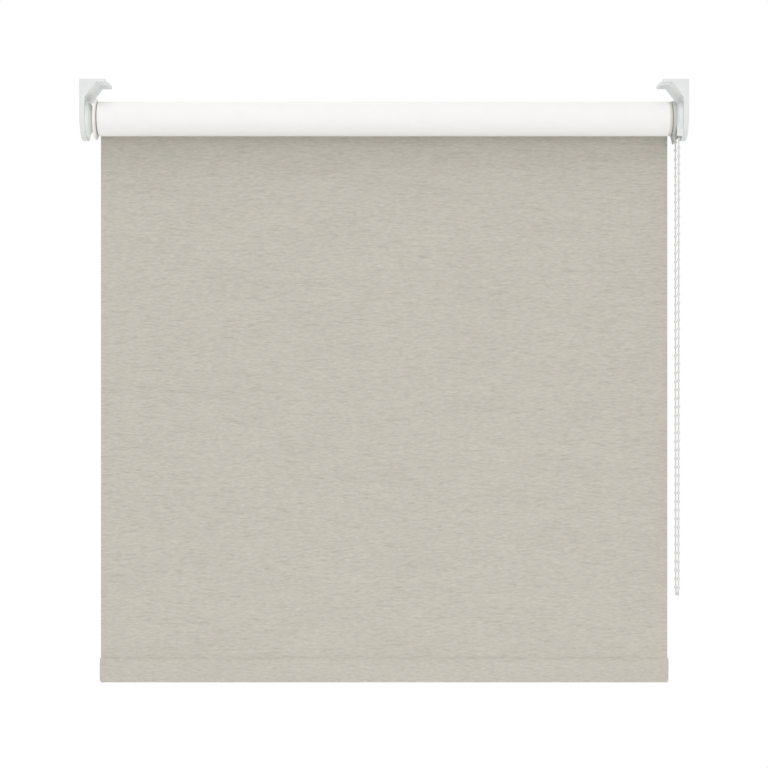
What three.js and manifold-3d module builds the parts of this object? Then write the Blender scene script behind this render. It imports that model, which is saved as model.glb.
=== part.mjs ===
// A chain-operated roller blind: two ceiling brackets, a cloth roll on a tube, a spring-loaded idle
// end, a wrap-spring chain clutch, a bead chain and a weighted hem. Millimetres, +Z up.
// The origin is midway between the brackets on the ceiling plane. +X runs along the roller to the
// chain side, -Y faces the room and +Y the window.
import * as THREE from "three";
import { mergeVertices } from "three/addons/utils/BufferGeometryUtils.js";
import Module from "manifold-3d";

// driving dimensions
const BRACKET_OUTER = 422.4; // outer face of each bracket from the middle
const BRACKET_WALL = 7.2;
const BRACKET_FRONT = -30; // depths from the roller's axis, towards the room and the window
const BRACKET_BACK = 39;
const BRACKET_BOTTOM = -82;
const FLANGE_LENGTH = 36;
const FLANGE_THICK = 4.2;
const GUSSET_WIDE = 15.7;
const GUSSET_HIGH = 21;
const AXIS_Z = -52; // the roller's axis below the ceiling
const CLOTH_HALF = 400; // half the cloth's width
const CLOTH_THICK = 0.5;
const ROLL_RADIUS = 23.5;
const TUBE_RADIUS = 20;
const TUBE_WALL = 1.2;
const PANEL_Y = 24.05; // middle of the hanging cloth, at the back of the roll
const CLOTH_BOTTOM = -844;
const HEM_HEIGHT = 36.6;
const HEM_Y = 23; // middle of the hem pocket
const CHAIN_PITCH = 12.03;
const CHAIN_BEADS = 116;
const WHEEL_POCKETS = 8;
const CHAIN_DIAMETER = 4.5;
const CHAIN_X = 410.1;
const CHAIN_BEND = 13; // radius of the turn at the bottom of the loop
const GAP = 0.3; // clearance between neighbouring solids
const PIN_RADIUS = 3;
const FLARE = 26.5; // radius that the idle socket and the chain guard flare to at the brackets
const CORE_RADIUS = 7;

// worked out from them
const BRACKET_INNER = BRACKET_OUTER - BRACKET_WALL;
const CHAIN_RADIUS = (CHAIN_PITCH * WHEEL_POCKETS) / (2 * Math.PI);
const STRAND = (CHAIN_BEADS * CHAIN_PITCH - Math.PI * (CHAIN_RADIUS + CHAIN_BEND)) / 2;
const HEM_Z = CLOTH_BOTTOM + HEM_HEIGHT / 2;

const wasm = await Module();
wasm.setup();

// A closed geometry as a solid that can be joined and cut.
function solid(geometry) {
  const bare = geometry.clone();
  bare.deleteAttribute("normal");
  bare.deleteAttribute("uv");
  const merged = mergeVertices(bare, 1e-4);
  return new wasm.Manifold(
    new wasm.Mesh({
      numProp: 3,
      vertProperties: merged.attributes.position.array,
      triVerts: new Uint32Array(merged.index.array),
    }),
  );
}

// A solid back as a geometry with flat faces.
function geometryOf(cut) {
  const mesh = cut.getMesh();
  const geometry = new THREE.BufferGeometry();
  geometry.setAttribute("position", new THREE.BufferAttribute(mesh.vertProperties, 3));
  geometry.setIndex(new THREE.BufferAttribute(mesh.triVerts, 1));
  const flat = geometry.toNonIndexed();
  flat.computeVertexNormals();
  return flat;
}

// A profile of [radius, x] points turned about the X axis. It runs with its outside on the left.
function turned(profile, segments = 32) {
  const points = profile.map(([r, x]) => new THREE.Vector2(r, x));
  return new THREE.LatheGeometry(points, segments).rotateZ(-Math.PI / 2);
}

function rod(x0, x1, radius, segments) {
  return turned([[0, x0], [radius, x0], [radius, x1], [0, x1]], segments);
}

function sleeve(x0, x1, outer, inner, segments) {
  return turned([[inner, x0], [outer, x0], [outer, x1], [inner, x1], [inner, x0]], segments);
}

// A shape drawn in the YZ plane and extruded along X from x0 to x1.
function alongX(shape, x0, x1, curveSegments = 16) {
  const geometry = new THREE.ExtrudeGeometry(shape, {
    depth: x1 - x0,
    bevelEnabled: false,
    curveSegments,
  });
  const turn = new THREE.Matrix4().makeBasis(
    new THREE.Vector3(0, 1, 0),
    new THREE.Vector3(0, 0, 1),
    new THREE.Vector3(1, 0, 0),
  );
  return geometry.applyMatrix4(turn).translate(x0, 0, 0);
}

// A shape drawn in the XZ plane and extruded along Y, centred on y = 0.
function alongY(shape, depth) {
  const geometry = new THREE.ExtrudeGeometry(shape, { depth, bevelEnabled: false });
  return geometry.rotateX(Math.PI / 2).translate(0, depth / 2, 0);
}

function block(x0, x1, y0, y1, z0, z1) {
  const box = new THREE.BoxGeometry(x1 - x0, y1 - y0, z1 - z0);
  return box.translate((x0 + x1) / 2, (y0 + y1) / 2, (z0 + z1) / 2);
}

function polygon(points) {
  return new THREE.Shape(points.map(([a, b]) => new THREE.Vector2(a, b)));
}

function oval(y, z, halfWidth, halfHeight) {
  return new THREE.Shape().absellipse(y, z, halfWidth, halfHeight, 0, 2 * Math.PI);
}

// A round wire along a helix about the X axis, with both ends square.
class Helix extends THREE.Curve {
  constructor(x0, x1, radius, turns) {
    super();
    Object.assign(this, { x0, x1, radius, turns });
  }
  getPoint(t, target = new THREE.Vector3()) {
    const angle = 2 * Math.PI * this.turns * t;
    const x = THREE.MathUtils.lerp(this.x0, this.x1, t);
    return target.set(x, this.radius * Math.cos(angle), this.radius * Math.sin(angle));
  }
}

function circle(radius, sides) {
  const points = [];
  for (let i = 0; i < sides; i++) {
    const angle = (2 * Math.PI * i) / sides;
    points.push(new THREE.Vector2(radius * Math.cos(angle), radius * Math.sin(angle)));
  }
  return new THREE.Shape(points);
}

function spring(x0, x1, radius, wire, turns) {
  return new THREE.ExtrudeGeometry(circle(wire / 2, 5), {
    steps: turns * 12,
    extrudePath: new Helix(x0, x1, radius, turns),
  });
}

// A route through hand-placed points, one step of the tube for each, so that arcs keep short steps
// and straight runs long ones.
class Route extends THREE.Curve {
  constructor(points) {
    super();
    this.points = points;
  }
  getPointAt(u, target = new THREE.Vector3()) {
    const last = this.points.length - 1;
    const along = THREE.MathUtils.clamp(u, 0, 1) * last;
    const i = Math.min(Math.floor(along), last - 1);
    return target.lerpVectors(this.points[i], this.points[i + 1], along - i);
  }
  getTangentAt(u, target = new THREE.Vector3()) {
    const step = 0.5 / (this.points.length - 1);
    const ahead = this.getPointAt(u + step);
    return target.copy(ahead).sub(this.getPointAt(u - step)).normalize();
  }
}

// The chain's endless loop: over the wheel, down the front, round the bottom and up the back, with
// its two ends almost touching on top of the wheel. Measured from the wheel's centre.
function chainRoute() {
  const opening = 0.04;
  const points = [];
  const arc = (radius, centre, from, to, steps) => {
    for (let i = 0; i <= steps; i++) {
      const angle = THREE.MathUtils.lerp(from, to, i / steps);
      points.push(new THREE.Vector3(CHAIN_X, radius * Math.cos(angle), centre + radius * Math.sin(angle)));
    }
  };
  const strand = (fromY, toY, fromZ, toZ, steps) => {
    for (let i = 1; i < steps; i++) {
      const y = THREE.MathUtils.lerp(fromY, toY, i / steps);
      points.push(new THREE.Vector3(CHAIN_X, y, THREE.MathUtils.lerp(fromZ, toZ, i / steps)));
    }
  };
  arc(CHAIN_RADIUS, 0, Math.PI / 2 + opening, Math.PI, 7);
  strand(-CHAIN_RADIUS, -CHAIN_BEND, 0, -STRAND, 18);
  arc(CHAIN_BEND, -STRAND, Math.PI, 2 * Math.PI, 12);
  strand(CHAIN_BEND, CHAIN_RADIUS, -STRAND, 0, 18);
  arc(CHAIN_RADIUS, 0, 0, Math.PI / 2 - opening, 7);
  return new Route(points);
}

// finishes
const finishes = {
  bracket: { color: 0xe2e4e3, roughness: 0.45, metalness: 0 },
  guard: { color: 0xdfe1e0, roughness: 0.5, metalness: 0 },
  collar: { color: 0x8e9190, roughness: 0.5, metalness: 0 },
  socket: { color: 0xd6d9d8, roughness: 0.5, metalness: 0 },
  cream: { color: 0xe6e2d6, roughness: 0.55, metalness: 0 },
  nylon: { color: 0xeceae4, roughness: 0.5, metalness: 0 },
  wheel: { color: 0x9a9d9c, roughness: 0.5, metalness: 0 },
  steel: { color: 0xb8babb, roughness: 0.3, metalness: 1 },
  aluminium: { color: 0xc6c8ca, roughness: 0.4, metalness: 1 },
  tape: { color: 0xf0efe8, roughness: 0.7, metalness: 0 },
  chain: { color: 0xe4e4e4, roughness: 0.4, metalness: 0 },
  cloth: { color: 0xc3bfb3, roughness: 0.95, metalness: 0 },
  lining: { color: 0xf4f3f0, roughness: 0.9, metalness: 0 },
  cap: { color: 0xb9bab8, roughness: 0.5, metalness: 0 },
};

function piece(name, geometry, finish) {
  const mesh = new THREE.Mesh(geometry, new THREE.MeshStandardMaterial(finishes[finish]));
  mesh.name = name;
  return mesh;
}

// An L-shaped moulded bracket for the +X side: a side plate with a round lower end, a flange under
// the ceiling, a gusset between them, and a screw notch and slot in the flange. The seat is the hole
// in the side plate, from the roller's axis.
function bracketGeometry(seat) {
  const half = (BRACKET_BACK - BRACKET_FRONT) / 2;
  const middle = (BRACKET_BACK + BRACKET_FRONT) / 2;
  const tip = BRACKET_OUTER - FLANGE_LENGTH;
  const outline = new THREE.Shape();
  outline.moveTo(BRACKET_FRONT, 0);
  outline.lineTo(BRACKET_FRONT, BRACKET_BOTTOM + half);
  outline.absarc(middle, BRACKET_BOTTOM + half, half, Math.PI, 2 * Math.PI, false);
  outline.lineTo(BRACKET_BACK, 0);
  const corner = polygon([
    [tip, 0],
    [tip, -FLANGE_THICK],
    [BRACKET_INNER - GUSSET_WIDE, -FLANGE_THICK],
    [BRACKET_INNER, -FLANGE_THICK - GUSSET_HIGH],
    [BRACKET_INNER + 1, -FLANGE_THICK - GUSSET_HIGH],
    [BRACKET_INNER + 1, 0],
  ]);
  const notch = block(tip - 1, tip + 15.4, -18, -1, -3 * FLANGE_THICK, 1);
  const slot = new THREE.Shape();
  const [slotNear, slotFar, slotY, slotRadius] = [tip + 6, tip + 12, 14, 3.1];
  slot.absarc(slotFar, slotY, slotRadius, -Math.PI / 2, Math.PI / 2, false);
  slot.absarc(slotNear, slotY, slotRadius, Math.PI / 2, 1.5 * Math.PI, false);
  const screwSlot = new THREE.ExtrudeGeometry(slot, { depth: 4 * FLANGE_THICK, bevelEnabled: false });
  screwSlot.translate(0, 0, -3 * FLANGE_THICK);
  const cut = solid(alongX(outline, BRACKET_INNER, BRACKET_OUTER, 20))
    .add(solid(alongY(corner, 2 * half).translate(0, middle, 0)))
    .subtract(solid(notch))
    .subtract(solid(screwSlot))
    .subtract(solid(seat.translate(0, 0, AXIS_Z)));
  return geometryOf(cut);
}

function leftBracket() {
  const seat = rod(BRACKET_INNER - 1, BRACKET_OUTER + 1, 6.3, 24);
  const bracket = piece("left_bracket", bracketGeometry(seat), "bracket");
  bracket.scale.x = -1;
  return bracket;
}

const tongue = { halfY: 3.5, halfZ: 6 };

function rightBracket() {
  const { halfY, halfZ } = tongue;
  const seat = block(
    BRACKET_INNER - 1,
    BRACKET_OUTER + 1,
    -halfY - GAP,
    halfY + GAP,
    -halfZ - GAP,
    halfZ + GAP,
  );
  return piece("right_bracket", bracketGeometry(seat), "bracket");
}

// Idle end, drawn on the +X side about the roller's axis. A half turn about Z puts it at the left.
const bossStart = 405.6;
const discStart = 401.9;
const discEnd = 404.7;

function idleSocket() {
  const profile = [
    [0, 412.5],
    [PIN_RADIUS + GAP, 412.5],
    [PIN_RADIUS + GAP, bossStart],
    [9, bossStart],
    [17, bossStart + 1.8],
    [FLARE, BRACKET_INNER - GAP],
    [6, BRACKET_INNER - GAP],
    [6, BRACKET_OUTER - 0.4],
    [0, BRACKET_OUTER - 0.4],
  ];
  return piece("idle_socket", turned(profile, 28), "socket");
}

const tubeBore = TUBE_RADIUS - TUBE_WALL;

function idlePlug() {
  const body = tubeBore - 0.4;
  const bore = PIN_RADIUS + GAP;
  const profile = [
    [2.3, 366],
    [body, 366],
    [body, 400.3],
    [19.6, 400.3],
    [19.6, 401.5],
    [8, 401.5],
    [8, 404.9],
    [bore, 404.9],
    [bore, 396],
    [6, 396],
    [6, 370],
    [2.3, 370],
    [2.3, 366],
  ];
  return piece("idle_plug", turned(profile, 32), "nylon");
}

function guardDisc() {
  const profile = [
    [8.3, discStart],
    [20.4, discStart],
    [20.4, discStart - 1.3],
    [24.4, discStart - 1.3],
    [28.4, discStart],
    [29, discStart + 0.7],
    [29, discEnd - 0.5],
    [28.5, discEnd],
    [8.3, discEnd],
    [8.3, discStart],
  ];
  return piece("guard_disc", turned(profile, 48), "cream");
}

function idlePin() {
  const profile = [
    [0, 362],
    [2, 362],
    [2, 393.2],
    [5.5, 393.2],
    [5.5, 395.7],
    [PIN_RADIUS, 395.7],
    [PIN_RADIUS, 410.9],
    [PIN_RADIUS - 0.7, 411.6],
    [0, 411.6],
  ];
  return piece("idle_pin", turned(profile, 20), "steel");
}

function idleSpring() {
  return piece("idle_spring", spring(371, 392.3, 4.6, 1, 6), "steel");
}

// Roller: an extruded tube with the cloth wound on it and held by a strip of tape.
function rollerTube() {
  return piece("roller_tube", sleeve(-CLOTH_HALF, CLOTH_HALF, TUBE_RADIUS, tubeBore, 40), "aluminium");
}

function clothRoll() {
  const inner = TUBE_RADIUS + 0.9;
  return piece("cloth_roll", sleeve(-CLOTH_HALF, CLOTH_HALF, ROLL_RADIUS, inner, 48), "lining");
}

function adhesiveStrip() {
  const [inner, outer, half] = [TUBE_RADIUS + GAP, TUBE_RADIUS + 0.6, 0.3];
  const strip = new THREE.Shape();
  strip.absarc(0, 0, outer, -half, half, false);
  strip.absarc(0, 0, inner, half, -half, true);
  return piece("adhesive_strip", alongX(strip, -CLOTH_HALF + 2, CLOTH_HALF - 2, 4), "tape");
}

// Chain clutch at the right-hand end, about the roller's axis.
const neckRadius = 12.6;
const guardStart = 406.7;
const guardBack = 413.7;

function driveHub() {
  const body = tubeBore - 0.4;
  const profile = [
    [10.6, 356],
    [body, 356],
    [body, 399.6],
    [neckRadius + 0.4, 399.6],
    [neckRadius + 0.4, 395.6],
    [10.6, 395.6],
    [10.6, 356],
  ];
  return piece("drive_hub", turned(profile, 32), "nylon");
}

function chainWheel() {
  const bore = CORE_RADIUS + GAP;
  const floor = CHAIN_RADIUS - CHAIN_DIAMETER / 2 - 0.6;
  const left = CHAIN_X - CHAIN_DIAMETER / 2 - GAP;
  const right = CHAIN_X + CHAIN_DIAMETER / 2 + GAP;
  const profile = [
    [bore, 396],
    [neckRadius, 396],
    [neckRadius, 404.4],
    [17.4, 404.4],
    [17.4, left],
    [floor, left],
    [floor, right],
    [16.6, right],
    [16.6, 413.4],
    [bore, 413.4],
    [bore, 396],
  ];
  return piece("chain_wheel", turned(profile, 40), "wheel");
}

function clutchCore() {
  const { halfY, halfZ } = tongue;
  const spindle = rod(355, BRACKET_INNER - 0.2, CORE_RADIUS, 28);
  const blade = block(BRACKET_INNER - 2, BRACKET_OUTER - 0.6, -halfY, halfY, -halfZ, halfZ);
  const pilot = rod(354, 369, 2, 16);
  return piece("clutch_core", geometryOf(solid(spindle).add(solid(blade)).subtract(solid(pilot))), "nylon");
}

function coreCap() {
  return piece("core_cap", sleeve(353, 354.7, 9.8, 2, 28), "nylon");
}

function coreScrew() {
  const profile = [
    [0, 350.4],
    [2.4, 350.4],
    [3.6, 351.4],
    [3.6, 352.7],
    [1.7, 352.7],
    [1.7, 366.5],
    [0, 368],
  ];
  return piece("core_screw", turned(profile, 20), "steel");
}

function wrapSpring(name, x0) {
  const wire = 1.2;
  return piece(name, spring(x0, x0 + 14, CORE_RADIUS + GAP + wire / 2, wire, 7), "steel");
}

// The dark collar between roll and chain wheel, recessed for the wheel's flange, with a lip below
// that keeps the chain off the cloth.
function clutchCollar() {
  const [start, end, radius] = [401.8, 406.4, 25];
  const profile = [
    [neckRadius + 0.5, start],
    [radius, start],
    [radius, end],
    [18.2, end],
    [18.2, 404],
    [neckRadius + 0.5, 404],
    [neckRadius + 0.5, start],
  ];
  const lip = polygon([
    [start, -21],
    [start + 2.8, -34],
    [end, -34],
    [end, -21],
  ]);
  const cut = solid(turned(profile, 44)).add(solid(alongY(lip, 22)));
  return piece("clutch_collar", geometryOf(cut), "collar");
}

// The light guard round the chain wheel: a back plate and an arched rim that flares to the bracket,
// open below where the two strands come out.
function chainGuard() {
  const [outer, inner, low] = [22.5, 18.6, -26];
  const arch = (radius, bottom) => {
    const shape = new THREE.Shape();
    shape.moveTo(radius, bottom);
    shape.lineTo(radius, 0);
    shape.absarc(0, 0, radius, 0, Math.PI, false);
    shape.lineTo(-radius, bottom);
    return shape;
  };
  const end = BRACKET_INNER - GAP;
  const flare = turned([[0, guardStart], [outer, guardStart], [FLARE, end], [0, end]], 56);
  const cut = solid(alongX(arch(outer, low), guardStart, end, 24))
    .add(solid(flare))
    .subtract(solid(alongX(arch(inner, -FLARE - 1), guardStart - 1, guardBack, 24)))
    .subtract(solid(rod(guardBack - 1, BRACKET_INNER + 1, CORE_RADIUS + GAP, 28)))
    .subtract(solid(block(guardStart - 1, BRACKET_INNER + 1, -3, 3, -FLARE - 1, low + 4)));
  return piece("chain_guard", geometryOf(cut), "guard");
}

function beadChain() {
  const route = chainRoute();
  const tube = new THREE.ExtrudeGeometry(circle(CHAIN_DIAMETER / 2, 8), {
    steps: route.points.length - 1,
    extrudePath: route,
  });
  return piece("bead_chain", tube, "chain");
}

// The hanging cloth and its weighted hem.
function clothPanel() {
  const hemTop = HEM_Z + HEM_HEIGHT / 2 + GAP;
  const half = CLOTH_THICK / 2;
  const sheet = block(-CLOTH_HALF, CLOTH_HALF, PANEL_Y - half, PANEL_Y + half, hemTop, AXIS_Z);
  return piece("cloth_panel", sheet, "cloth");
}

function hemPocket() {
  const [halfWidth, halfHeight] = [3.4, HEM_HEIGHT / 2];
  const ring = oval(HEM_Y, HEM_Z, halfWidth, halfHeight);
  ring.holes.push(oval(HEM_Y, HEM_Z, halfWidth - CLOTH_THICK, halfHeight - CLOTH_THICK));
  return piece("hem_pocket", alongX(ring, -CLOTH_HALF, CLOTH_HALF, 14), "cloth");
}

const bar = { halfWidth: 2.5, halfHeight: 16, wall: 1, halfLength: 399 };

function bottomBar() {
  const { halfWidth, halfHeight, wall, halfLength } = bar;
  const ring = oval(HEM_Y, HEM_Z, halfWidth, halfHeight);
  ring.holes.push(oval(HEM_Y, HEM_Z, halfWidth - wall, halfHeight - wall));
  return piece("bottom_bar", alongX(ring, -halfLength, halfLength, 12), "aluminium");
}

function barCap(name, side) {
  const { halfWidth, halfHeight, wall, halfLength } = bar;
  const play = wall + GAP;
  const spigot = oval(HEM_Y, HEM_Z, halfWidth - play, halfHeight - play);
  const face = oval(HEM_Y, HEM_Z, halfWidth, halfHeight);
  const cut = solid(alongX(spigot, halfLength - 12, halfLength + 1, 10)).add(
    solid(alongX(face, halfLength + GAP, halfLength + 2.2, 12)),
  );
  const cap = piece(name, geometryOf(cut), "cap");
  cap.scale.x = side;
  return cap;
}

// A group of parts drawn about the roller's axis.
function onAxis(...parts) {
  const group = new THREE.Group();
  group.position.z = AXIS_Z;
  group.add(...parts);
  return group;
}

const idleEnd = onAxis(idleSocket(), idlePlug(), guardDisc(), idlePin(), idleSpring());
idleEnd.rotation.z = Math.PI;

const roller = onAxis(rollerTube(), clothRoll(), adhesiveStrip());

const clutch = onAxis(
  driveHub(),
  chainWheel(),
  clutchCore(),
  coreCap(),
  coreScrew(),
  wrapSpring("wrap_spring_inner", 359),
  wrapSpring("wrap_spring_outer", 377.5),
  clutchCollar(),
  chainGuard(),
  beadChain(),
);

const hem = [
  clothPanel(),
  hemPocket(),
  bottomBar(),
  barCap("bar_cap_left", -1),
  barCap("bar_cap_right", 1),
];

const blind = new THREE.Group();
blind.add(leftBracket(), rightBracket(), idleEnd, roller, clutch, ...hem);

export default blind;
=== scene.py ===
"""A chain-operated roller blind: beige woven cloth on a tube between two ceiling brackets."""
import math

import bmesh
import bpy
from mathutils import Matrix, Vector


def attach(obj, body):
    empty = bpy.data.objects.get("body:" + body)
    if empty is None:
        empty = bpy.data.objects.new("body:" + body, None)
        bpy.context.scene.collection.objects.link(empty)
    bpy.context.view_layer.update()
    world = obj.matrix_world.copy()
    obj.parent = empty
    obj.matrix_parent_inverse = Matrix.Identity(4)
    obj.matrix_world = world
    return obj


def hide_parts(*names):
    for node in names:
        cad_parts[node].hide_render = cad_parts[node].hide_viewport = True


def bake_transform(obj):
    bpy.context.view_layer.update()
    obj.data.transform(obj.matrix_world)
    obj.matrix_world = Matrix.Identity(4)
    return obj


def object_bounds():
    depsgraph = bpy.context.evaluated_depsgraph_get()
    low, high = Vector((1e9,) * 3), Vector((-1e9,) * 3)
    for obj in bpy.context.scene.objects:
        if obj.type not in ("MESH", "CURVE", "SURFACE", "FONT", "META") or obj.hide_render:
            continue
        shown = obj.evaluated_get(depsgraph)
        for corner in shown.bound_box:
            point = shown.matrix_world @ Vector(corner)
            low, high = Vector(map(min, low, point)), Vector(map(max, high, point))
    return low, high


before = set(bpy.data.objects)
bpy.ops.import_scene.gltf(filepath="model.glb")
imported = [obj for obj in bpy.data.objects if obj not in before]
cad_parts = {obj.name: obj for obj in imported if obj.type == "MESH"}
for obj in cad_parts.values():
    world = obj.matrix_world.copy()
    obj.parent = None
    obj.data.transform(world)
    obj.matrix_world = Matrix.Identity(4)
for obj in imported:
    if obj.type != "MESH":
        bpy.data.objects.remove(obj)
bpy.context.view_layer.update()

# ---------------------------------------------------------------------------------------------
# Camera, light and floor. The blind is seen square on from across a room, in even white light,
# with a little more from the upper front, which shades the cloth under the roll, and from below.
# ---------------------------------------------------------------------------------------------
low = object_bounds()[0]
camera_data = bpy.data.cameras.new("camera")
camera_data.lens = 90.4
camera_data.sensor_width = 36.0
camera_data.clip_end = 50.0
camera = bpy.data.objects.new("camera", camera_data)
camera.location = (-0.0002, -2.7, -0.4228)
camera.rotation_euler = (math.pi / 2, 0, 0)
bpy.context.scene.collection.objects.link(camera)
bpy.context.scene.camera = camera
bpy.context.scene.view_settings.view_transform = "Standard"

world = bpy.data.worlds.new("even white room")
world.use_nodes = True
world.node_tree.nodes["Background"].inputs["Color"].default_value = (1, 1, 1, 1)
world.node_tree.nodes["Background"].inputs["Strength"].default_value = 1.0
bpy.context.scene.world = world


def soft_light(name, place, target, size, watts):
    """A square area light facing a point."""
    data = bpy.data.lights.new(name, "AREA")
    data.size = size
    data.energy = watts
    light = bpy.data.objects.new(name, data)
    light.location = place
    light.rotation_euler = (Vector(target) - Vector(place)).to_track_quat("-Z", "Y").to_euler()
    bpy.context.scene.collection.objects.link(light)


soft_light("key", (-0.5, -1.1, 1.9), (0, 0, -0.4), 1.4, 10.0)
soft_light("bounce", (0.2, -1.6, -1.9), (0, 0, -0.1), 1.5, 13.0)

FLOOR_DROP = 1.2  # the floor lies this far below the hem
FLOOR_SIDE, FLOOR_FRONT, FLOOR_BACK = 12, -6, 5
floor_z = low.z - FLOOR_DROP
floor_mesh = bpy.data.meshes.new("floor")
floor_mesh.from_pydata(
    [
        (-FLOOR_SIDE, FLOOR_FRONT, floor_z),
        (FLOOR_SIDE, FLOOR_FRONT, floor_z),
        (FLOOR_SIDE, FLOOR_BACK, floor_z),
        (-FLOOR_SIDE, FLOOR_BACK, floor_z),
    ],
    [],
    [(0, 1, 2, 3)],
)
floor = bpy.data.objects.new("floor", floor_mesh)
bpy.context.scene.collection.objects.link(floor)
pale = bpy.data.materials.new("pale floor")
pale.use_nodes = True
pale.node_tree.nodes["Principled BSDF"].inputs["Base Color"].default_value = (0.92, 0.92, 0.92, 1)
pale.node_tree.nodes["Principled BSDF"].inputs["Roughness"].default_value = 0.9
floor_mesh.materials.append(pale)

# ---------------------------------------------------------------------------------------------
# Bead chain: an endless loop of moulded beads on a thin polyester cord, hung over the chain
# wheel. It is limp and hangs under its own weight, so both strands are straight, and they come
# a little closer towards the turn at the bottom.
# ---------------------------------------------------------------------------------------------
AXIS_Z = -0.052  # height of the roller's axis
BEAD = 0.0045
PITCH = 0.01203  # from bead to bead
BEADS = 116
POCKETS = 8
STRING = 0.0019
CHAIN_X = 0.4101
CHAIN_RADIUS = PITCH * POCKETS / (2 * math.pi)
BEND = 0.013  # radius of the turn at the bottom
STRAND = (BEADS * PITCH - math.pi * (CHAIN_RADIUS + BEND)) / 2  # height of the straight runs
QUARTER = CHAIN_RADIUS * math.pi / 2  # from the top of the wheel to its side


def along_loop(distance):
    """The point a distance along the endless loop, from the top of the wheel down the front."""
    distance %= BEADS * PITCH
    centre, radius, angle = AXIS_Z, CHAIN_RADIUS, math.pi / 2 + distance / CHAIN_RADIUS
    for sign, start in ((-1, QUARTER), (1, QUARTER + STRAND + math.pi * BEND)):
        share = (distance - start) / STRAND
        if 0 <= share < 1:
            if sign > 0:
                share = 1 - share
            reach = CHAIN_RADIUS + (BEND - CHAIN_RADIUS) * share
            return Vector((CHAIN_X, sign * reach, AXIS_Z - STRAND * share))
    if distance >= QUARTER + STRAND:
        centre, radius, angle = AXIS_Z - STRAND, BEND, math.pi + (distance - QUARTER - STRAND) / BEND
    if distance >= QUARTER + 2 * STRAND + math.pi * BEND:
        centre, radius = AXIS_Z, CHAIN_RADIUS
        angle = (distance - QUARTER - 2 * STRAND - math.pi * BEND) / CHAIN_RADIUS
    return Vector((CHAIN_X, radius * math.cos(angle), centre + radius * math.sin(angle)))


OPENING = 0.0006  # half the distance between the loop's two ends, on top of the wheel
chain_route, reached = [], 0.0
for length, steps in ((QUARTER, 6), (STRAND, 8), (math.pi * BEND, 10), (STRAND, 8), (QUARTER, 6)):
    chain_route += [along_loop(max(OPENING, reached + length * i / steps)) for i in range(steps)]
    reached += length
chain_route.append(along_loop(reached - OPENING))


def node(tree, kind, place=(0, 0), **values):
    """A node with some of its settings; a key that names an input sets that input."""
    made = tree.nodes.new(kind)
    made.location = place
    for key, value in values.items():
        if hasattr(made, key):
            setattr(made, key, value)
        else:
            made.inputs[key.replace("_", " ")].default_value = value
    return made


def plastic(name, color, roughness, mottle=0.03, grain=0.0002, bump=0.12):
    """Moulded plastic: a faint mottle in its colour, and the fine texture of the mould."""
    material = bpy.data.materials.new(name)
    material.use_nodes = True
    tree = material.node_tree
    shader = tree.nodes["Principled BSDF"]
    shader.inputs["Roughness"].default_value = roughness
    place = node(tree, "ShaderNodeTexCoord", (-900, 0))
    clouds = node(tree, "ShaderNodeTexNoise", (-700, 150), Scale=60.0, Detail=3.0)
    ramp = node(tree, "ShaderNodeValToRGB", (-500, 150))
    ramp.color_ramp.elements[0].position = 0.3
    ramp.color_ramp.elements[1].position = 0.7
    ramp.color_ramp.elements[0].color = [c * (1 - mottle) for c in color] + [1]
    ramp.color_ramp.elements[1].color = [min(1, c * (1 + mottle)) for c in color] + [1]
    pits = node(tree, "ShaderNodeTexNoise", (-700, -200), Scale=0.35 / grain, Detail=2.0)
    relief = node(tree, "ShaderNodeBump", (-300, -200), Strength=bump, Distance=0.00008)
    tree.links.new(place.outputs["Object"], clouds.inputs["Vector"])
    tree.links.new(place.outputs["Object"], pits.inputs["Vector"])
    tree.links.new(clouds.outputs["Fac"], ramp.inputs["Fac"])
    tree.links.new(ramp.outputs["Color"], shader.inputs["Base Color"])
    tree.links.new(pits.outputs["Fac"], relief.inputs["Height"])
    tree.links.new(relief.outputs["Normal"], shader.inputs["Normal"])
    return material


bead_plastic = plastic("bead plastic", (0.64, 0.64, 0.64), 0.35, mottle=0.02, bump=0.05)
string_fibre = plastic("string fibre", (0.58, 0.58, 0.58), 0.8, mottle=0.05, bump=0.2)


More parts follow.
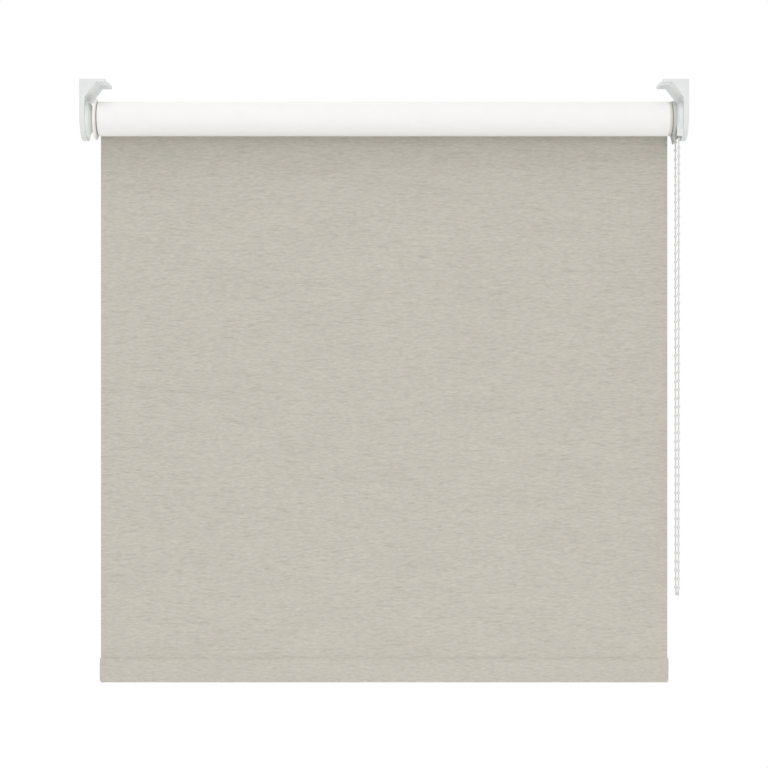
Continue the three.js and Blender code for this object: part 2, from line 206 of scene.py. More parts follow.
def beads_on_string():
    """Geometry Nodes: beads spread evenly along a curve, and the string through them."""
    tree = bpy.data.node_groups.new("beads on string", "GeometryNodeTree")
    face = tree.interface
    face.new_socket("Geometry", in_out="INPUT", socket_type="NodeSocketGeometry")
    for title in ("Bead Radius", "String Radius"):
        face.new_socket(title, in_out="INPUT", socket_type="NodeSocketFloat")
    face.new_socket("Beads", in_out="INPUT", socket_type="NodeSocketInt")
    for title in ("Bead Material", "String Material"):
        face.new_socket(title, in_out="INPUT", socket_type="NodeSocketMaterial")
    face.new_socket("Geometry", in_out="OUTPUT", socket_type="NodeSocketGeometry")
    given = tree.nodes.new("NodeGroupInput")
    result = tree.nodes.new("NodeGroupOutput")
    link = tree.links.new
    places = node(tree, "GeometryNodeResampleCurve", (-400, 200))
    ball = node(tree, "GeometryNodeMeshUVSphere", (-400, 0), Segments=16, Rings=10)
    copies = node(tree, "GeometryNodeInstanceOnPoints", (-200, 150))
    section = node(tree, "GeometryNodeCurvePrimitiveCircle", (-400, -200), Resolution=8)
    string = node(tree, "GeometryNodeCurveToMesh", (-200, -150))
    join = node(tree, "GeometryNodeJoinGeometry", (0, 0))
    smooth = node(tree, "GeometryNodeSetShadeSmooth", (150, 0))
    real = node(tree, "GeometryNodeRealizeInstances", (300, 0))
    mark = node(tree, "GeometryNodeStoreNamedAttribute", (-60, -150), data_type="BOOLEAN", domain="FACE")
    mark.inputs["Name"].default_value = "string"
    mark.inputs["Value"].default_value = True
    marked = node(tree, "GeometryNodeInputNamedAttribute", (450, -200), data_type="BOOLEAN")
    marked.inputs["Name"].default_value = "string"
    paint = node(tree, "GeometryNodeSetMaterial", (450, 0))
    repaint = node(tree, "GeometryNodeSetMaterial", (600, 0))
    link(given.outputs["Geometry"], places.inputs["Curve"])
    link(given.outputs["Beads"], places.inputs["Count"])
    link(given.outputs["Bead Radius"], ball.inputs["Radius"])
    link(places.outputs["Curve"], copies.inputs["Points"])
    link(ball.outputs["Mesh"], copies.inputs["Instance"])
    link(given.outputs["Geometry"], string.inputs["Curve"])
    link(given.outputs["String Radius"], section.inputs["Radius"])
    link(section.outputs["Curve"], string.inputs["Profile Curve"])
    link(string.outputs["Mesh"], mark.inputs["Geometry"])
    link(mark.outputs["Geometry"], join.inputs["Geometry"])
    link(copies.outputs["Instances"], join.inputs["Geometry"])
    link(join.outputs["Geometry"], smooth.inputs["Geometry"])
    link(smooth.outputs["Geometry"], real.inputs["Geometry"])
    link(real.outputs["Geometry"], paint.inputs["Geometry"])
    link(given.outputs["Bead Material"], paint.inputs["Material"])
    link(paint.outputs["Geometry"], repaint.inputs["Geometry"])
    link(marked.outputs["Attribute"], repaint.inputs["Selection"])
    link(given.outputs["String Material"], repaint.inputs["Material"])
    link(repaint.outputs["Geometry"], result.inputs["Geometry"])
    return tree


def grown(base, tree, **inputs):
    """The plain mesh that a Geometry Nodes tree makes of a base object, which is then removed."""
    modifier = base.modifiers.new("grow", "NODES")
    modifier.node_group = tree
    sockets = {item.name: item.identifier for item in tree.interface.items_tree if item.in_out == "INPUT"}
    for title, value in inputs.items():
        modifier[sockets[title.replace("_", " ")]] = value
    bpy.context.view_layer.update()
    evaluated = base.evaluated_get(bpy.context.evaluated_depsgraph_get())
    mesh = bpy.data.meshes.new_from_object(evaluated)
    bpy.data.objects.remove(base)
    return mesh


def shown(name, mesh, material_slot, *nodes):
    """A finished object at the origin that stands for CAD nodes."""
    made = bpy.data.objects.new(name, mesh)
    bpy.context.scene.collection.objects.link(made)
    if nodes:
        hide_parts(*nodes)
    return made


steps_per_pitch = 4
first_bead = 0.5 * PITCH - 0.00067  # along the loop from the top of the wheel
loop_curve = bpy.data.curves.new("chain loop", "CURVE")
loop_curve.dimensions = "3D"
spline = loop_curve.splines.new("POLY")
spline.points.add(steps_per_pitch * BEADS - 1)
for i in range(steps_per_pitch * BEADS):
    spline.points[i].co = (*along_loop(first_bead + i * PITCH / steps_per_pitch), 1)
spline.use_cyclic_u = True
loop = bpy.data.objects.new("chain loop", loop_curve)
bpy.context.scene.collection.objects.link(loop)
chain_mesh = grown(
    loop,
    beads_on_string(),
    Bead_Radius=BEAD / 2,
    String_Radius=STRING / 2,
    Beads=BEADS,
    Bead_Material=bead_plastic,
    String_Material=string_fibre,
)
chain = shown("bead_chain_loop", chain_mesh, "chain_plastic", "bead_chain")
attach(chain, "root")

# ---------------------------------------------------------------------------------------------
# Ceiling brackets: one moulding each, an L of side plate and flange with a sloping gusset and a
# round lower end. The flange has a screw slot, and an open notch that runs into the gusset.
# ---------------------------------------------------------------------------------------------
BRACKET_OUTER = 0.4224
BRACKET_INNER = 0.4152
BRACKET_FRONT, BRACKET_BACK = -0.030, 0.039
BRACKET_BOTTOM = -0.082
FLANGE_TIP = 0.3864
FLANGE_THICK = 0.0042
GUSSET_WIDE, GUSSET_HIGH = 0.0157, 0.021
bracket_plastic = plastic("bracket plastic", (0.68, 0.696, 0.69), 0.42)


def circle_points(centre, radius, start, end, steps):
    """Points of an arc in a plane, as (first, second) pairs."""
    found = []
    for i in range(steps + 1):
        angle = start + (end - start) * i / steps
        found.append((centre[0] + radius * math.cos(angle), centre[1] + radius * math.sin(angle)))
    return found


def rectangle(a0, a1, b0, b1):
    """The four corners between two values of each coordinate."""
    return [(a0, b0), (a1, b0), (a1, b1), (a0, b1)]


def prism(outline, start, end, axis="X"):
    """An outline drawn in the plane across an axis (YZ, XZ or XY) and pushed along it."""

    def place(pair, along):
        a, b = pair
        return {"X": (along, a, b), "Y": (a, along, b), "Z": (a, b, along)}[axis]

    mesh = bpy.data.meshes.new("prism")
    count = len(outline)
    points = [place(p, start) for p in outline] + [place(p, end) for p in outline]
    faces = [tuple(range(count)), tuple(range(2 * count - 1, count - 1, -1))]
    for i in range(count):
        j = (i + 1) % count
        faces.append((i, i + count, j + count, j))
    mesh.from_pydata(points, [], faces)
    face_outwards(mesh)
    return mesh


def face_outwards(mesh):
    """Merges doubles and turns every face of a closed mesh outwards."""
    work = bmesh.new()
    work.from_mesh(mesh)
    bmesh.ops.remove_doubles(work, verts=work.verts, dist=1e-7)
    bmesh.ops.recalc_face_normals(work, faces=work.faces)
    work.to_mesh(mesh)
    work.free()


def combined(base, *steps):
    """A mesh after joining and cutting others: each step is ("UNION" or "DIFFERENCE", mesh)."""
    body = bpy.data.objects.new("body", base)
    bpy.context.scene.collection.objects.link(body)
    tools = []
    for operation, mesh in steps:
        tool = bpy.data.objects.new("tool", mesh)
        bpy.context.scene.collection.objects.link(tool)
        tools.append(tool)
        modifier = body.modifiers.new("cut", "BOOLEAN")
        modifier.operation = operation
        modifier.solver = "EXACT"
        modifier.object = tool
    bpy.context.view_layer.update()
    evaluated = body.evaluated_get(bpy.context.evaluated_depsgraph_get())
    mesh = bpy.data.meshes.new_from_object(evaluated)
    for extra in [body, *tools]:
        bpy.data.objects.remove(extra)
    work = bmesh.new()
    work.from_mesh(mesh)
    bmesh.ops.remove_doubles(work, verts=work.verts, dist=2e-6)
    bmesh.ops.dissolve_limit(work, angle_limit=0.002, verts=work.verts, edges=work.edges)
    work.to_mesh(mesh)
    work.free()
    return mesh


def softened(made, material, radius, segments=3):
    """Rounds the edges a little, as a moulding has them, and shades the rest flat."""
    made.data.materials.clear()
    made.data.materials.append(material)
    made.data.polygons.foreach_set("use_smooth", [True] * len(made.data.polygons))
    bevel = made.modifiers.new("moulded edges", "BEVEL")
    bevel.width = radius
    bevel.segments = segments
    bevel.limit_method = "ANGLE"
    bevel.angle_limit = math.radians(35)
    weighted = made.modifiers.new("flat faces", "WEIGHTED_NORMAL")
    weighted.keep_sharp = True
    weighted.weight = 100
    return made


def bracket_mesh(side, seat):
    """One bracket, on the side given as 1 or -1, with the seat cut through its side plate."""
    half = (BRACKET_BACK - BRACKET_FRONT) / 2
    middle = (BRACKET_BACK + BRACKET_FRONT) / 2
    outline = [(BRACKET_FRONT, 0), (BRACKET_BACK, 0)]
    outline += circle_points((middle, BRACKET_BOTTOM + half), half, 0, -math.pi, 48)
    plate = prism(outline, side * BRACKET_INNER, side * BRACKET_OUTER)
    corner = prism(
        [
            (side * FLANGE_TIP, 0),
            (side * FLANGE_TIP, -FLANGE_THICK),
            (side * (BRACKET_INNER - GUSSET_WIDE), -FLANGE_THICK),
            (side * BRACKET_INNER, -FLANGE_THICK - GUSSET_HIGH),
            (side * (BRACKET_INNER + 0.001), -FLANGE_THICK - GUSSET_HIGH),
            (side * (BRACKET_INNER + 0.001), 0),
        ],
        BRACKET_FRONT,
        BRACKET_BACK,
        "Y",
    )
    notch_near, notch_far, notch_deep, past_tip = -0.018, -0.001, 0.0154, 0.002
    across = (side * (FLANGE_TIP - past_tip), side * (FLANGE_TIP + notch_deep))
    notch = prism(rectangle(*across, notch_near, notch_far), -3 * FLANGE_THICK, FLANGE_THICK, "Z")
    slot_y, slot_radius = 0.014, 0.0031
    near, far = FLANGE_TIP + 0.006, FLANGE_TIP + 0.012
    ends = circle_points((far, slot_y), slot_radius, -math.pi / 2, math.pi / 2, 16)
    ends += circle_points((near, slot_y), slot_radius, math.pi / 2, 1.5 * math.pi, 16)
    slot = prism([(side * x, y) for x, y in ends], -3 * FLANGE_THICK, FLANGE_THICK, "Z")
    cuts = [("DIFFERENCE", tool) for tool in (notch, slot, seat)]
    return combined(plate, ("UNION", corner), *cuts)


SEAT_RADIUS, SEAT_START, SEAT_END = 0.0063, 0.41, 0.43
left_seat = prism(
    circle_points((0, AXIS_Z), SEAT_RADIUS, 0, 2 * math.pi * 31 / 32, 31), -SEAT_END, -SEAT_START
)
left = shown("left_ceiling_bracket", bracket_mesh(-1, left_seat), "bracket_plastic", "left_bracket")
softened(left, bracket_plastic, 0.0004)
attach(left, "root")

BLADE_Y, BLADE_Z = 0.0038, 0.0063  # half sizes of the hole for the clutch core's blade
blade_hole = rectangle(-BLADE_Y, BLADE_Y, AXIS_Z - BLADE_Z, AXIS_Z + BLADE_Z)
right_seat = prism(blade_hole, SEAT_START, SEAT_END)
right = shown("right_ceiling_bracket", bracket_mesh(1, right_seat), "bracket_plastic", "right_bracket")
softened(right, bracket_plastic, 0.0004)
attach(right, "root")

# ---------------------------------------------------------------------------------------------
# Idle end, at the left: a boss pressed into the bracket and flared towards it, which the roller's
# spring pin runs in, and the guard disc on the end plug that keeps the cloth on the tube.
# ---------------------------------------------------------------------------------------------
# painted light: the boss is the bracket's plastic made lighter, standing in for light that the disc and
# bracket shade off it
boss_plastic_painted_light = plastic("boss plastic painted lighter", (0.86, 0.885, 0.875), 0.45)
cream_plastic = plastic("cream plastic", (0.80, 0.785, 0.73), 0.5)
pale_nylon = plastic("pale nylon", (0.80, 0.79, 0.76), 0.45)


def turned(profile, segments=72):
    """A closed profile of (x, radius) points turned about the roller's axis."""
    mesh = bpy.data.meshes.new("turned")
    points, faces, rings = [], [], []
    for x, radius in profile:
        if radius == 0:
            rings.append([len(points)] * segments)
            points.append((x, 0, AXIS_Z))
            continue
        rings.append(range(len(points), len(points) + segments))
        for i in range(segments):
            angle = 2 * math.pi * i / segments
            points.append((x, radius * math.cos(angle), AXIS_Z + radius * math.sin(angle)))
    for first, second in zip(rings, rings[1:] + rings[:1]):
        for i in range(segments):
            j = (i + 1) % segments
            corners = [first[i], first[j], second[j], second[i]]
            corners = list(dict.fromkeys(corners))
            if len(corners) > 2:
                faces.append(corners)
    mesh.from_pydata(points, [], faces)
    face_outwards(mesh)
    return mesh


def mirrored(profile):
    """The same profile at the left-hand end."""
    return [(-x, radius) for x, radius in profile]


FLARE = 0.0265  # radius of the flared ends against the brackets
boss_profile = [
    (0.4125, 0),
    (0.4125, 0.0033),
    (0.4056, 0.0033),
    (0.4056, 0.0090),
    (0.4074, 0.0170),
    (0.4151, FLARE),
    (0.4151, 0.0060),
    (0.4220, 0.0060),
    (0.4220, 0),
]
boss = shown("idle_boss", turned(mirrored(boss_profile)), "bracket_plastic", "idle_socket")
softened(boss, boss_plastic_painted_light, 0.0003, 2)
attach(boss, "root")

disc_profile = [
    (0.4019, 0.0083),
    (0.4019, 0.0204),
    (0.4006, 0.0204),
    (0.4006, 0.0244),
    (0.4019, 0.0284),
    (0.4026, 0.0290),
    (0.4042, 0.0290),
    (0.4047, 0.0285),
    (0.4047, 0.0225),
    (0.4042, 0.0220),
    (0.4042, 0.0130),
    (0.4047, 0.0125),
    (0.4047, 0.0083),
]
disc = shown("cloth_guard_disc", turned(mirrored(disc_profile), 96), "cream_plastic", "guard_disc")
softened(disc, cream_plastic, 0.0003, 2)
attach(disc, "roller")

# ---------------------------------------------------------------------------------------------
# Chain clutch, at the right: a dark collar with a lip that keeps the chain off the cloth, the
# pocketed wheel, and a light guard arched over the wheel, flared to the bracket and open below.
# ---------------------------------------------------------------------------------------------
collar_plastic = plastic("collar plastic", (0.47, 0.485, 0.48), 0.5)
wheel_plastic = plastic("wheel plastic", (0.36, 0.37, 0.37), 0.45)
COLLAR_START, COLLAR_END, COLLAR_RADIUS = 0.4018, 0.4064, 0.025
collar_profile = [
    (COLLAR_START, 0.0131),
    (COLLAR_START, COLLAR_RADIUS - 0.0008),
    (COLLAR_START + 0.0008, COLLAR_RADIUS),
    (COLLAR_END, COLLAR_RADIUS),
    (COLLAR_END, 0.0182),
    (0.4040, 0.0182),
    (0.4040, 0.0131),
]
lip = prism(
    [
        (COLLAR_START, AXIS_Z - 0.021),
        (COLLAR_START + 0.0028, AXIS_Z - 0.034),
        (COLLAR_END, AXIS_Z - 0.034),
        (COLLAR_END, AXIS_Z - 0.021),
    ],
    -0.011,
    0.011,
    "Y",
)
collar_mesh = combined(turned(collar_profile, 96), ("UNION", lip))
collar = shown("clutch_collar_and_lip", collar_mesh, "grey_plastic", "clutch_collar")
softened(collar, collar_plastic, 0.0004)
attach(collar, "root")

GUARD_START, GUARD_BACK, GUARD_END = 0.4067, 0.4137, 0.4151
GUARD_RADIUS, GUARD_BORE, GUARD_LOW = 0.0225, 0.0186, 0.026


def arch(radius, bottom):
    """The guard's outline: a half circle on two straight legs."""
    over = circle_points((0, AXIS_Z), radius, 0, math.pi, 48)
    return [(radius, AXIS_Z - bottom), *over, (-radius, AXIS_Z - bottom)]


guard_flare = [(GUARD_START, 0), (GUARD_START, GUARD_RADIUS), (GUARD_END, FLARE), (GUARD_END, 0)]
core_hole = [(0.412, 0), (0.412, 0.0073), (0.417, 0.0073), (0.417, 0)]
foot_notch = rectangle(-0.003, 0.003, AXIS_Z - 0.0275, AXIS_Z - 0.022)
guard_mesh = combined(
    prism(arch(GUARD_RADIUS, GUARD_LOW), GUARD_START, GUARD_END),
    ("UNION", turned(guard_flare, 96)),
    ("DIFFERENCE", prism(arch(GUARD_BORE, FLARE + 0.001), GUARD_START - 0.001, GUARD_BACK)),
    ("DIFFERENCE", turned(core_hole, 48)),
    ("DIFFERENCE", prism(foot_notch, 0.405, 0.417)),
)
guard = shown("outer_chain_guard", guard_mesh, "bracket_plastic", "chain_guard")
softened(guard, bracket_plastic, 0.0004)
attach(guard, "root")

WHEEL_FLOOR = CHAIN_RADIUS - BEAD / 2 - 0.0006


def wheel_mesh():
    """The chain wheel: flanges each side of a drum whose crests stand between the beads."""
    segments, mesh = 128, bpy.data.meshes.new("wheel")
    side = BEAD / 2 + 0.0003
    profile = [(0.396, 0.0126), (0.4044, 0.0126), (0.4044, 0.0174), (CHAIN_X - side, 0.0174)]
    profile += [(CHAIN_X - side * 0.98, None), (CHAIN_X - side * 0.35, None), (CHAIN_X, None)]
    profile += [(CHAIN_X + side * 0.35, None), (CHAIN_X + side * 0.98, None)]
    profile += [(CHAIN_X + side, 0.0166), (0.4134, 0.0166), (0.4134, 0.0073), (0.396, 0.0073)]
    points, faces = [], []
    for x, radius in profile:
        for i in range(segments):
            angle = 2 * math.pi * i / segments
            here = radius
            if radius is None:
                across = (x - CHAIN_X) / side
                between = 0.5 - 0.5 * math.cos(POCKETS * (angle - math.pi / 2))
                here = WHEEL_FLOOR + 0.0022 * between ** 2 * (0.25 + 0.75 * across ** 2)
            points.append((x, here * math.cos(angle), AXIS_Z + here * math.sin(angle)))
    count = len(profile)
    for k in range(count):
        for i in range(segments):
            j = (i + 1) % segments
            m = (k + 1) % count
            faces.append((k * segments + i, k * segments + j, m * segments + j, m * segments + i))
    mesh.from_pydata(points, [], faces)
    face_outwards(mesh)
    return mesh


wheel = shown("pocketed_chain_wheel", wheel_mesh(), "grey_plastic", "chain_wheel")
softened(wheel, wheel_plastic, 0.0002, 2)
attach(wheel, "roller")

# ---------------------------------------------------------------------------------------------
# Cloth: a plain weave with thick and thin weft yarns, which gives short level streaks, and a
# smooth white coating on one side, which faces out on the roll and towards the window.
# ---------------------------------------------------------------------------------------------
CLOTH_HALF = 0.400
CLOTH_THICK = 0.00046
PANEL_Y = 0.02405
ROLL_PITCH = 0.0005
HEM_HEIGHT = 0.0366
HEM_TOP = low.z + HEM_HEIGHT


def woven(name):
    """Beige face: streaks of slub yarn a few millimetres to two centimetres long, and the weave."""
    material = bpy.data.materials.new(name)
    material.use_nodes = True
    tree = material.node_tree
    link = tree.links.new
    shader = tree.nodes["Principled BSDF"]
    shader.inputs["Roughness"].default_value = 0.95
    shader.inputs["Specular IOR Level"].default_value = 0.15
    shader.inputs["Sheen Weight"].default_value = 0.08
    shader.inputs["Sheen Roughness"].default_value = 0.6
    place = node(tree, "ShaderNodeTexCoord", (-1500, 0))

    def streaks(along, across, detail, y, seed):
        """Noise drawn out along the weft; the first two values are a streak's length and height."""
        mapping = node(tree, "ShaderNodeMapping", (-1250, y))
        mapping.inputs["Scale"].default_value = (1 / along, 1 / 0.02, 1 / across)
        mapping.inputs["Location"].default_value = (seed, seed * 0.7, seed * 1.3)
        noise = node(tree, "ShaderNodeTexNoise", (-1050, y), Scale=1.0, Detail=detail, Roughness=0.55)
        link(place.outputs["Object"], mapping.inputs["Vector"])
        link(mapping.outputs["Vector"], noise.inputs["Vector"])
        return noise

    slubs = streaks(0.016, 0.0019, 1.0, 400, 3.1)
    yarns = streaks(0.007, 0.0011, 1.0, 100, 11.7)
    bands = streaks(0.12, 0.03, 1.0, -200, 5.3)
    dark = node(tree, "ShaderNodeMapRange", (-800, 400))
    dark.inputs["From Min"].default_value = 0.26
    dark.inputs["From Max"].default_value = 0.46
    link(slubs.outputs["Fac"], dark.inputs["Value"])
    base = node(tree, "ShaderNodeValToRGB", (-550, 400))
    base.color_ramp.elements[0].color = (0.430, 0.409, 0.355, 1)
    base.color_ramp.elements[1].color = (0.483, 0.461, 0.403, 1)
    link(dark.outputs["Result"], base.inputs["Fac"])
    fine = node(tree, "ShaderNodeMix", (-300, 300), data_type="RGBA", blend_type="OVERLAY")
    fine.inputs["Factor"].default_value = 0.2
    link(base.outputs["Color"], fine.inputs["A"])
    link(yarns.outputs["Fac"], fine.inputs["B"])
    broad = node(tree, "ShaderNodeMix", (-100, 300), data_type="RGBA", blend_type="OVERLAY")
    broad.inputs["Factor"].default_value = 0.04
    link(fine.outputs["Result"], broad.inputs["A"])
    link(bands.outputs["Fac"], broad.inputs["B"])
    height = node(tree, "ShaderNodeMath", (-500, -100), operation="ADD")
    link(slubs.outputs["Fac"], height.inputs[0])
    link(yarns.outputs["Fac"], height.inputs[1])
    weft = node(tree, "ShaderNodeTexWave", (-1050, -450), bands_direction="Z", Scale=393.0, Distortion=1.5)
    warp = node(tree, "ShaderNodeTexWave", (-1050, -750), bands_direction="X", Scale=523.0, Distortion=0.8)
    threads = node(tree, "ShaderNodeMath", (-800, -550), operation="MULTIPLY")
    raised = node(tree, "ShaderNodeMath", (-400, -250), operation="MULTIPLY_ADD")
    raised.inputs[1].default_value = 0.5
    for wave, socket in ((weft, 0), (warp, 1)):
        link(place.outputs["Object"], wave.inputs["Vector"])
        link(wave.outputs["Fac"], threads.inputs[socket])
    link(threads.outputs["Value"], raised.inputs[0])
    lit = node(tree, "ShaderNodeMapRange", (-400, 100))
    lit.inputs["To Min"].default_value = 0.94
    lit.inputs["To Max"].default_value = 1.18
    link(threads.outputs["Value"], lit.inputs["Value"])
    crossed = node(tree, "ShaderNodeMix", (50, 300), data_type="RGBA", blend_type="MULTIPLY")
    crossed.inputs["Factor"].default_value = 1.0
    link(broad.outputs["Result"], crossed.inputs["A"])
    link(lit.outputs["Result"], crossed.inputs["B"])
    link(crossed.outputs["Result"], shader.inputs["Base Color"])
    link(height.outputs["Value"], raised.inputs[2])
    relief = node(tree, "ShaderNodeBump", (-200, -100), Strength=0.35, Distance=0.0003)
    link(raised.outputs["Value"], relief.inputs["Height"])
    link(relief.outputs["Normal"], shader.inputs["Normal"])
    return material


def coated(name):
    """White acrylic coating with a faint print of the weave, and painted shade that darkens it to beige
    over the last three millimetres at each end of the roll.
    """
    material = plastic(name, (0.80, 0.792, 0.775), 0.8, mottle=0.008, grain=0.0006, bump=0.10)
    tree = material.node_tree
    shader = tree.nodes["Principled BSDF"]
    colour = shader.inputs["Base Color"].links[0].from_socket
    place = node(tree, "ShaderNodeTexCoord", (-900, 500))
    split = node(tree, "ShaderNodeSeparateXYZ", (-700, 500))
    offset = node(tree, "ShaderNodeMath", (-600, 500), operation="ADD")
    offset.inputs[1].default_value = 0.001  # the painted shade reaches further in at the right, next to the collar
    reach = node(tree, "ShaderNodeMath", (-500, 500), operation="ABSOLUTE")
    edge = node(tree, "ShaderNodeMapRange", (-300, 500))
    edge.inputs["From Min"].default_value = CLOTH_HALF - 0.003
    edge.inputs["From Max"].default_value = CLOTH_HALF
    # painted shade: the coating's colour is mixed towards beige near both ends, more at the right
    painted_end_shade = node(tree, "ShaderNodeMix", (-100, 400), data_type="RGBA")
    painted_end_shade.inputs["B"].default_value = (0.56, 0.54, 0.485, 1)
    tree.links.new(place.outputs["Object"], split.inputs["Vector"])
    tree.links.new(split.outputs["X"], offset.inputs[0])
    tree.links.new(offset.outputs["Value"], reach.inputs[0])
    tree.links.new(reach.outputs["Value"], edge.inputs["Value"])
    tree.links.new(edge.outputs["Result"], painted_end_shade.inputs["Factor"])
    tree.links.new(colour, painted_end_shade.inputs["A"])
    tree.links.new(painted_end_shade.outputs["Result"], shader.inputs["Base Color"])
    return material


cloth_face = woven("beige woven face")
cloth_back = coated("white coated back")

# ---------------------------------------------------------------------------------------------
# Wound cloth: about seven and a half turns on the tube, coated side out, ending at the back of
# the roll where the cloth leaves it. It has crept to the right, and painted shade on the coating turns its
# last few millimetres beige at both ends, more at the right.
# ---------------------------------------------------------------------------------------------
WOUND_TURNS = 7.4
ROLL_DRIFT = 0.0012  # the inner turns lie this far to the right of the last one
STEPS_PER_TURN = 96


def wound_cloth():
    """A spiral ribbon along the whole width: outer side coated, inner side and ends woven."""
    total = int(WOUND_TURNS * STEPS_PER_TURN)
    outer, inner = [], []
    for i in range(total + 1):
        angle = 2 * math.pi * i / STEPS_PER_TURN
        middle = PANEL_Y - ROLL_PITCH * i / STEPS_PER_TURN
        half = CLOTH_THICK / 2
        taper = min(1.0, 0.15 + i / 6)  # the edge that the sheet leaves from lies flush
        drift = ROLL_DRIFT * min(1.0, i / STEPS_PER_TURN)
        for radius, row in ((middle + half * taper, outer), (middle - half * taper, inner)):
            row.append((drift, radius * math.cos(angle), AXIS_Z + radius * math.sin(angle)))
    stations = [-CLOTH_HALF, -CLOTH_HALF + 0.003, CLOTH_HALF - 0.003, CLOTH_HALF]
    mesh = bpy.data.meshes.new("wound cloth")
    ring = outer + inner[::-1]
    count = len(ring)
    points = [(x + drift, y, z) for x in stations for drift, y, z in ring]
    faces, kinds = [], []
    for k in range(len(stations) - 1):
        for i in range(count):
            j = (i + 1) % count
            faces.append((k * count + i, k * count + j, (k + 1) * count + j, (k + 1) * count + i))
            kinds.append(0 if i < total else 1)
    for k in (0, len(stations) - 1):
        for i in range(total):
            a, b, c, d = i, i + 1, count - 2 - i, count - 1 - i
            faces.append(tuple(k * count + v for v in (a, b, c, d)))
            kinds.append(1)
    mesh.from_pydata(points, [], faces)
    mesh.materials.append(cloth_back)
    mesh.materials.append(cloth_face)
    mesh.polygons.foreach_set("material_index", kinds)
    face_outwards(mesh)
    mesh.polygons.foreach_set("use_smooth", [True] * len(mesh.polygons))
    mesh.set_sharp_from_angle(angle=math.radians(40))
    return mesh


roll = shown("wound_cloth", wound_cloth(), "cloth_lining", "cloth_roll")
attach(roll, "roller")

# ---------------------------------------------------------------------------------------------
# Hanging cloth: one flat sheet from the back of the roll to the hem. It leans back by half a
# millimetre on the way down, in a curve whose place across that lean is each row's share of the
# travel, so that the sheet lengthens and shortens evenly as the hem goes down and up.
# ---------------------------------------------------------------------------------------------
PANEL_LEAN = 0.0005
PANEL_ROWS = 64
hem_drop = AXIS_Z - HEM_TOP


def blend_place(share):
    """Where between 0 and 1 the smooth curve 3t^2 - 2t^3 reaches a share of the travel."""
    return 0.5 - math.sin(math.asin(1 - 2 * share) / 3)


def hanging_cloth():
    """The flat sheet as one layer, its rows set so that it stretches evenly."""
    mesh = bpy.data.meshes.new("hanging cloth")
    columns = [-CLOTH_HALF, 0, CLOTH_HALF]
    points, faces = [], []
    for i in range(PANEL_ROWS + 1):
        share = i / PANEL_ROWS
        lean = PANEL_LEAN * blend_place(share)
        for x in columns:
            points.append((x, PANEL_Y + lean, AXIS_Z - hem_drop * share))
    wide = len(columns)
    for i in range(PANEL_ROWS):
        for k in range(wide - 1):
            a = i * wide + k
            faces.append((a, a + wide, a + wide + 1, a + 1))
    mesh.from_pydata(points, [], faces)
    mesh.materials.append(cloth_face)
    mesh.materials.append(cloth_back)
    return mesh


panel = shown("hanging_cloth", hanging_cloth(), "cloth_face", "cloth_panel")
body = panel.modifiers.new("cloth thickness", "SOLIDIFY")
body.thickness = CLOTH_THICK
body.offset = 0
body.material_offset = 1
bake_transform(panel)

# ---------------------------------------------------------------------------------------------
# Hem: the cloth's end turned up into a pocket round the bottom bar and welded to itself along
# the top, with a grey cap in each end of the hollow bar.
# ---------------------------------------------------------------------------------------------
HEM_Y = 0.023
HEM_HALF_DEEP = 0.0034
WELD = 0.0006  # height of the strip where the two layers are welded
PANEL_FOOT_Y = PANEL_Y + PANEL_LEAN
hem_middle = (HEM_TOP + low.z) / 2


def pocket_ring(inset):
    """The pocket's section, from the weld round the bar: thin at the top, full below."""
    steps, pinch_start = 40, 0.55  # it narrows to the weld from this share of its half height
    thin = CLOTH_THICK / 2 - inset / 3
    top, bottom = HEM_TOP - WELD - inset, low.z + inset
    back, front = PANEL_FOOT_Y + thin, PANEL_FOOT_Y - thin
    crown = [(back, HEM_TOP), (front, HEM_TOP)]
    if inset:
        crown = [(back - thin / 2, top), (front + thin / 2, top)]
    found = [(back, top), *crown, (front, top)]
    for i in range(1, 2 * steps):
        angle = math.pi * i / steps + math.pi / 2
        high = math.sin(angle)
        pinch = max(0.0, (high - pinch_start) / (1 - pinch_start)) ** 3
        bulge = (HEM_HALF_DEEP - inset) * abs(math.cos(angle)) ** 0.85 * (1 - 0.8 * pinch)
        centre = HEM_Y + (PANEL_FOOT_Y - HEM_Y) * pinch
        side = math.copysign(max(thin, bulge), math.cos(angle))
        found.append((centre + side, (top + bottom) / 2 + (top - bottom) / 2 * high))
    return found


def hem_mesh():
    """The pocket from end to end: woven outside and on its cut edges, coated inside."""
    outer, inner = pocket_ring(0), pocket_ring(CLOTH_THICK)
    count = len(outer)
    stations = [-CLOTH_HALF, CLOTH_HALF]
    points = [(x, y, z) for x in stations for y, z in outer + inner]
    faces, kinds = [], []
    for i in range(count):
        j = (i + 1) % count
        a, b = 0, 2 * count
        faces.append((a + i, a + j, b + j, b + i))
        faces.append((a + count + i, a + count + j, b + count + j, b + count + i))
        faces.append((a + i, a + j, a + count + j, a + count + i))
        faces.append((b + i, b + j, b + count + j, b + count + i))
        kinds += [0, 1, 0, 0]
    mesh = bpy.data.meshes.new("hem")
    mesh.from_pydata(points, [], faces)
    mesh.materials.append(cloth_face)
    mesh.materials.append(cloth_back)
    mesh.polygons.foreach_set("material_index", kinds)
    face_outwards(mesh)
    mesh.polygons.foreach_set("use_smooth", [True] * len(mesh.polygons))
    mesh.set_sharp_from_angle(angle=math.radians(50))
    return mesh


hem = shown("hem_pocket_cloth", hem_mesh(), "cloth_face", "hem_pocket")
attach(hem, "hem")

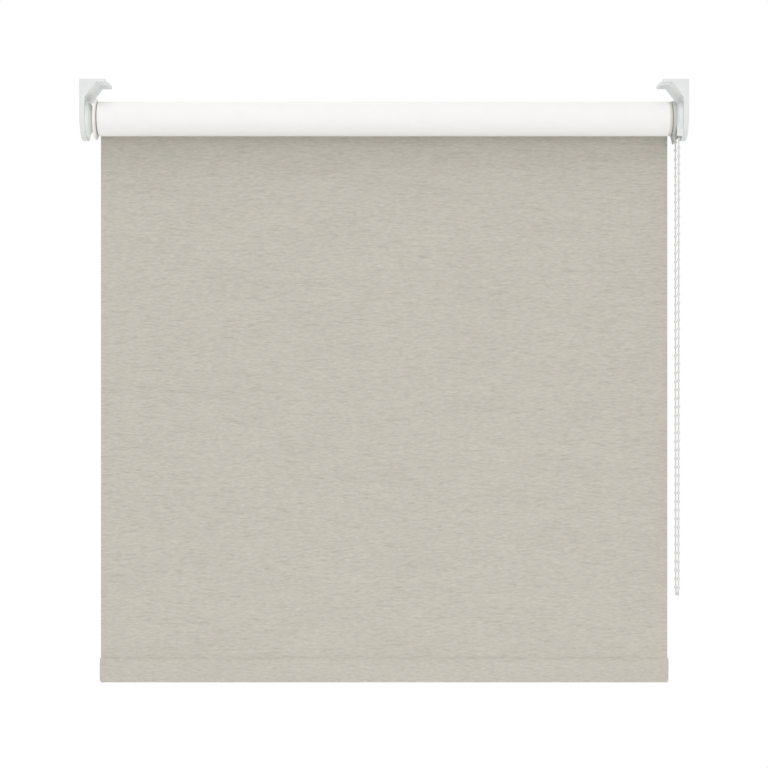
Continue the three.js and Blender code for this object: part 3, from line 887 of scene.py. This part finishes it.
cap_plastic = plastic("cap plastic", (0.48, 0.48, 0.47), 0.5)
BAR_HALF = 0.399
CAP_HALF_DEEP, CAP_HALF_HIGH = 0.0025, 0.016
CAP_START, CAP_END = BAR_HALF + 0.0003, BAR_HALF + 0.0022
for name, side in (("left", -1), ("right", 1)):
    unit = circle_points((0, 0), 1, 0, 2 * math.pi * 47 / 48, 47)
    rim = [(HEM_Y + CAP_HALF_DEEP * y, hem_middle + CAP_HALF_HIGH * z) for y, z in unit]
    cap_mesh = prism(rim, side * CAP_START, side * CAP_END)
    cap = shown("bar_end_cap_" + name, cap_mesh, "grey_plastic", "bar_cap_" + name)
    softened(cap, cap_plastic, 0.0006)
    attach(cap, "hem")

# ---------------------------------------------------------------------------------------------
# Inside: zinc-plated springs, pin and screw, the extruded aluminium tube and bottom bar, the tape
# on the tube, and nylon fittings. Only the pin's spring changes its shape, when the pin is pushed
# in to take the roller down.
# ---------------------------------------------------------------------------------------------


def metal(name, color, roughness, along):
    """Bright metal with fine drawing lines along X, stretched by the ratio given."""
    material = bpy.data.materials.new(name)
    material.use_nodes = True
    tree = material.node_tree
    shader = tree.nodes["Principled BSDF"]
    shader.inputs["Metallic"].default_value = 1.0
    place = node(tree, "ShaderNodeTexCoord", (-900, 0))
    mapping = node(tree, "ShaderNodeMapping", (-700, 0))
    mapping.inputs["Scale"].default_value = (900 / along, 900, 900)
    lines = node(tree, "ShaderNodeTexNoise", (-500, 0), Scale=1.0, Detail=2.0)
    ramp = node(tree, "ShaderNodeValToRGB", (-300, 150))
    ramp.color_ramp.elements[0].color = [c * 0.88 for c in color] + [1]
    ramp.color_ramp.elements[1].color = list(color) + [1]
    rough = node(tree, "ShaderNodeMapRange", (-300, -150))
    rough.inputs["To Min"].default_value = roughness * 0.8
    rough.inputs["To Max"].default_value = roughness * 1.2
    tree.links.new(place.outputs["Object"], mapping.inputs["Vector"])
    tree.links.new(mapping.outputs["Vector"], lines.inputs["Vector"])
    tree.links.new(lines.outputs["Fac"], ramp.inputs["Fac"])
    tree.links.new(lines.outputs["Fac"], rough.inputs["Value"])
    tree.links.new(ramp.outputs["Color"], shader.inputs["Base Color"])
    tree.links.new(rough.outputs["Result"], shader.inputs["Roughness"])
    return material


zinc = metal("zinc plate", (0.66, 0.67, 0.69), 0.3, 1)
extruded = metal("mill aluminium", (0.74, 0.75, 0.77), 0.38, 60)
tape_film = plastic("tape film", (0.85, 0.84, 0.79), 0.6)

SPRING_START, SPRING_END = -0.3710, -0.3923  # the end against the plug, and the one on the pin


def coiled(start, end, radius, wire, turns):
    """A compression spring of round wire about the roller's axis."""
    steps = turns * 32
    curve = bpy.data.curves.new("spring", "CURVE")
    curve.dimensions = "3D"
    curve.bevel_depth = wire / 2
    curve.bevel_resolution = 2
    curve.use_fill_caps = True
    coil = curve.splines.new("POLY")
    coil.points.add(steps)
    for i in range(steps + 1):
        angle = 2 * math.pi * turns * i / steps
        x = start + (end - start) * i / steps
        coil.points[i].co = (x, radius * math.cos(angle), AXIS_Z + radius * math.sin(angle), 1)
    holder = bpy.data.objects.new("spring", curve)
    bpy.context.scene.collection.objects.link(holder)
    bpy.context.view_layer.update()
    mesh = bpy.data.meshes.new_from_object(holder.evaluated_get(bpy.context.evaluated_depsgraph_get()))
    bpy.data.objects.remove(holder)
    mesh.materials.clear()
    mesh.materials.append(zinc)
    face_outwards(mesh)
    mesh.polygons.foreach_set("use_smooth", [True] * len(mesh.polygons))
    return mesh


# It is pressed together as the pin goes in, so it lies between the two bodies.
pin_spring_mesh = coiled(SPRING_START, SPRING_END, 0.0046, 0.001, 6)
pin_spring = shown("pin_spring", pin_spring_mesh, "steel", "idle_spring")
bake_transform(pin_spring)

cad_finishes = {
    "idle_pin": zinc,
    "wrap_spring_inner": zinc,
    "wrap_spring_outer": zinc,
    "core_screw": zinc,
    "roller_tube": extruded,
    "bottom_bar": extruded,
    "adhesive_strip": tape_film,
    "idle_plug": pale_nylon,
    "drive_hub": pale_nylon,
    "clutch_core": pale_nylon,
    "core_cap": pale_nylon,
}
for node_name, material in cad_finishes.items():
    cad_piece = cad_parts[node_name]
    cad_piece.data.materials.clear()
    cad_piece.data.materials.append(material)
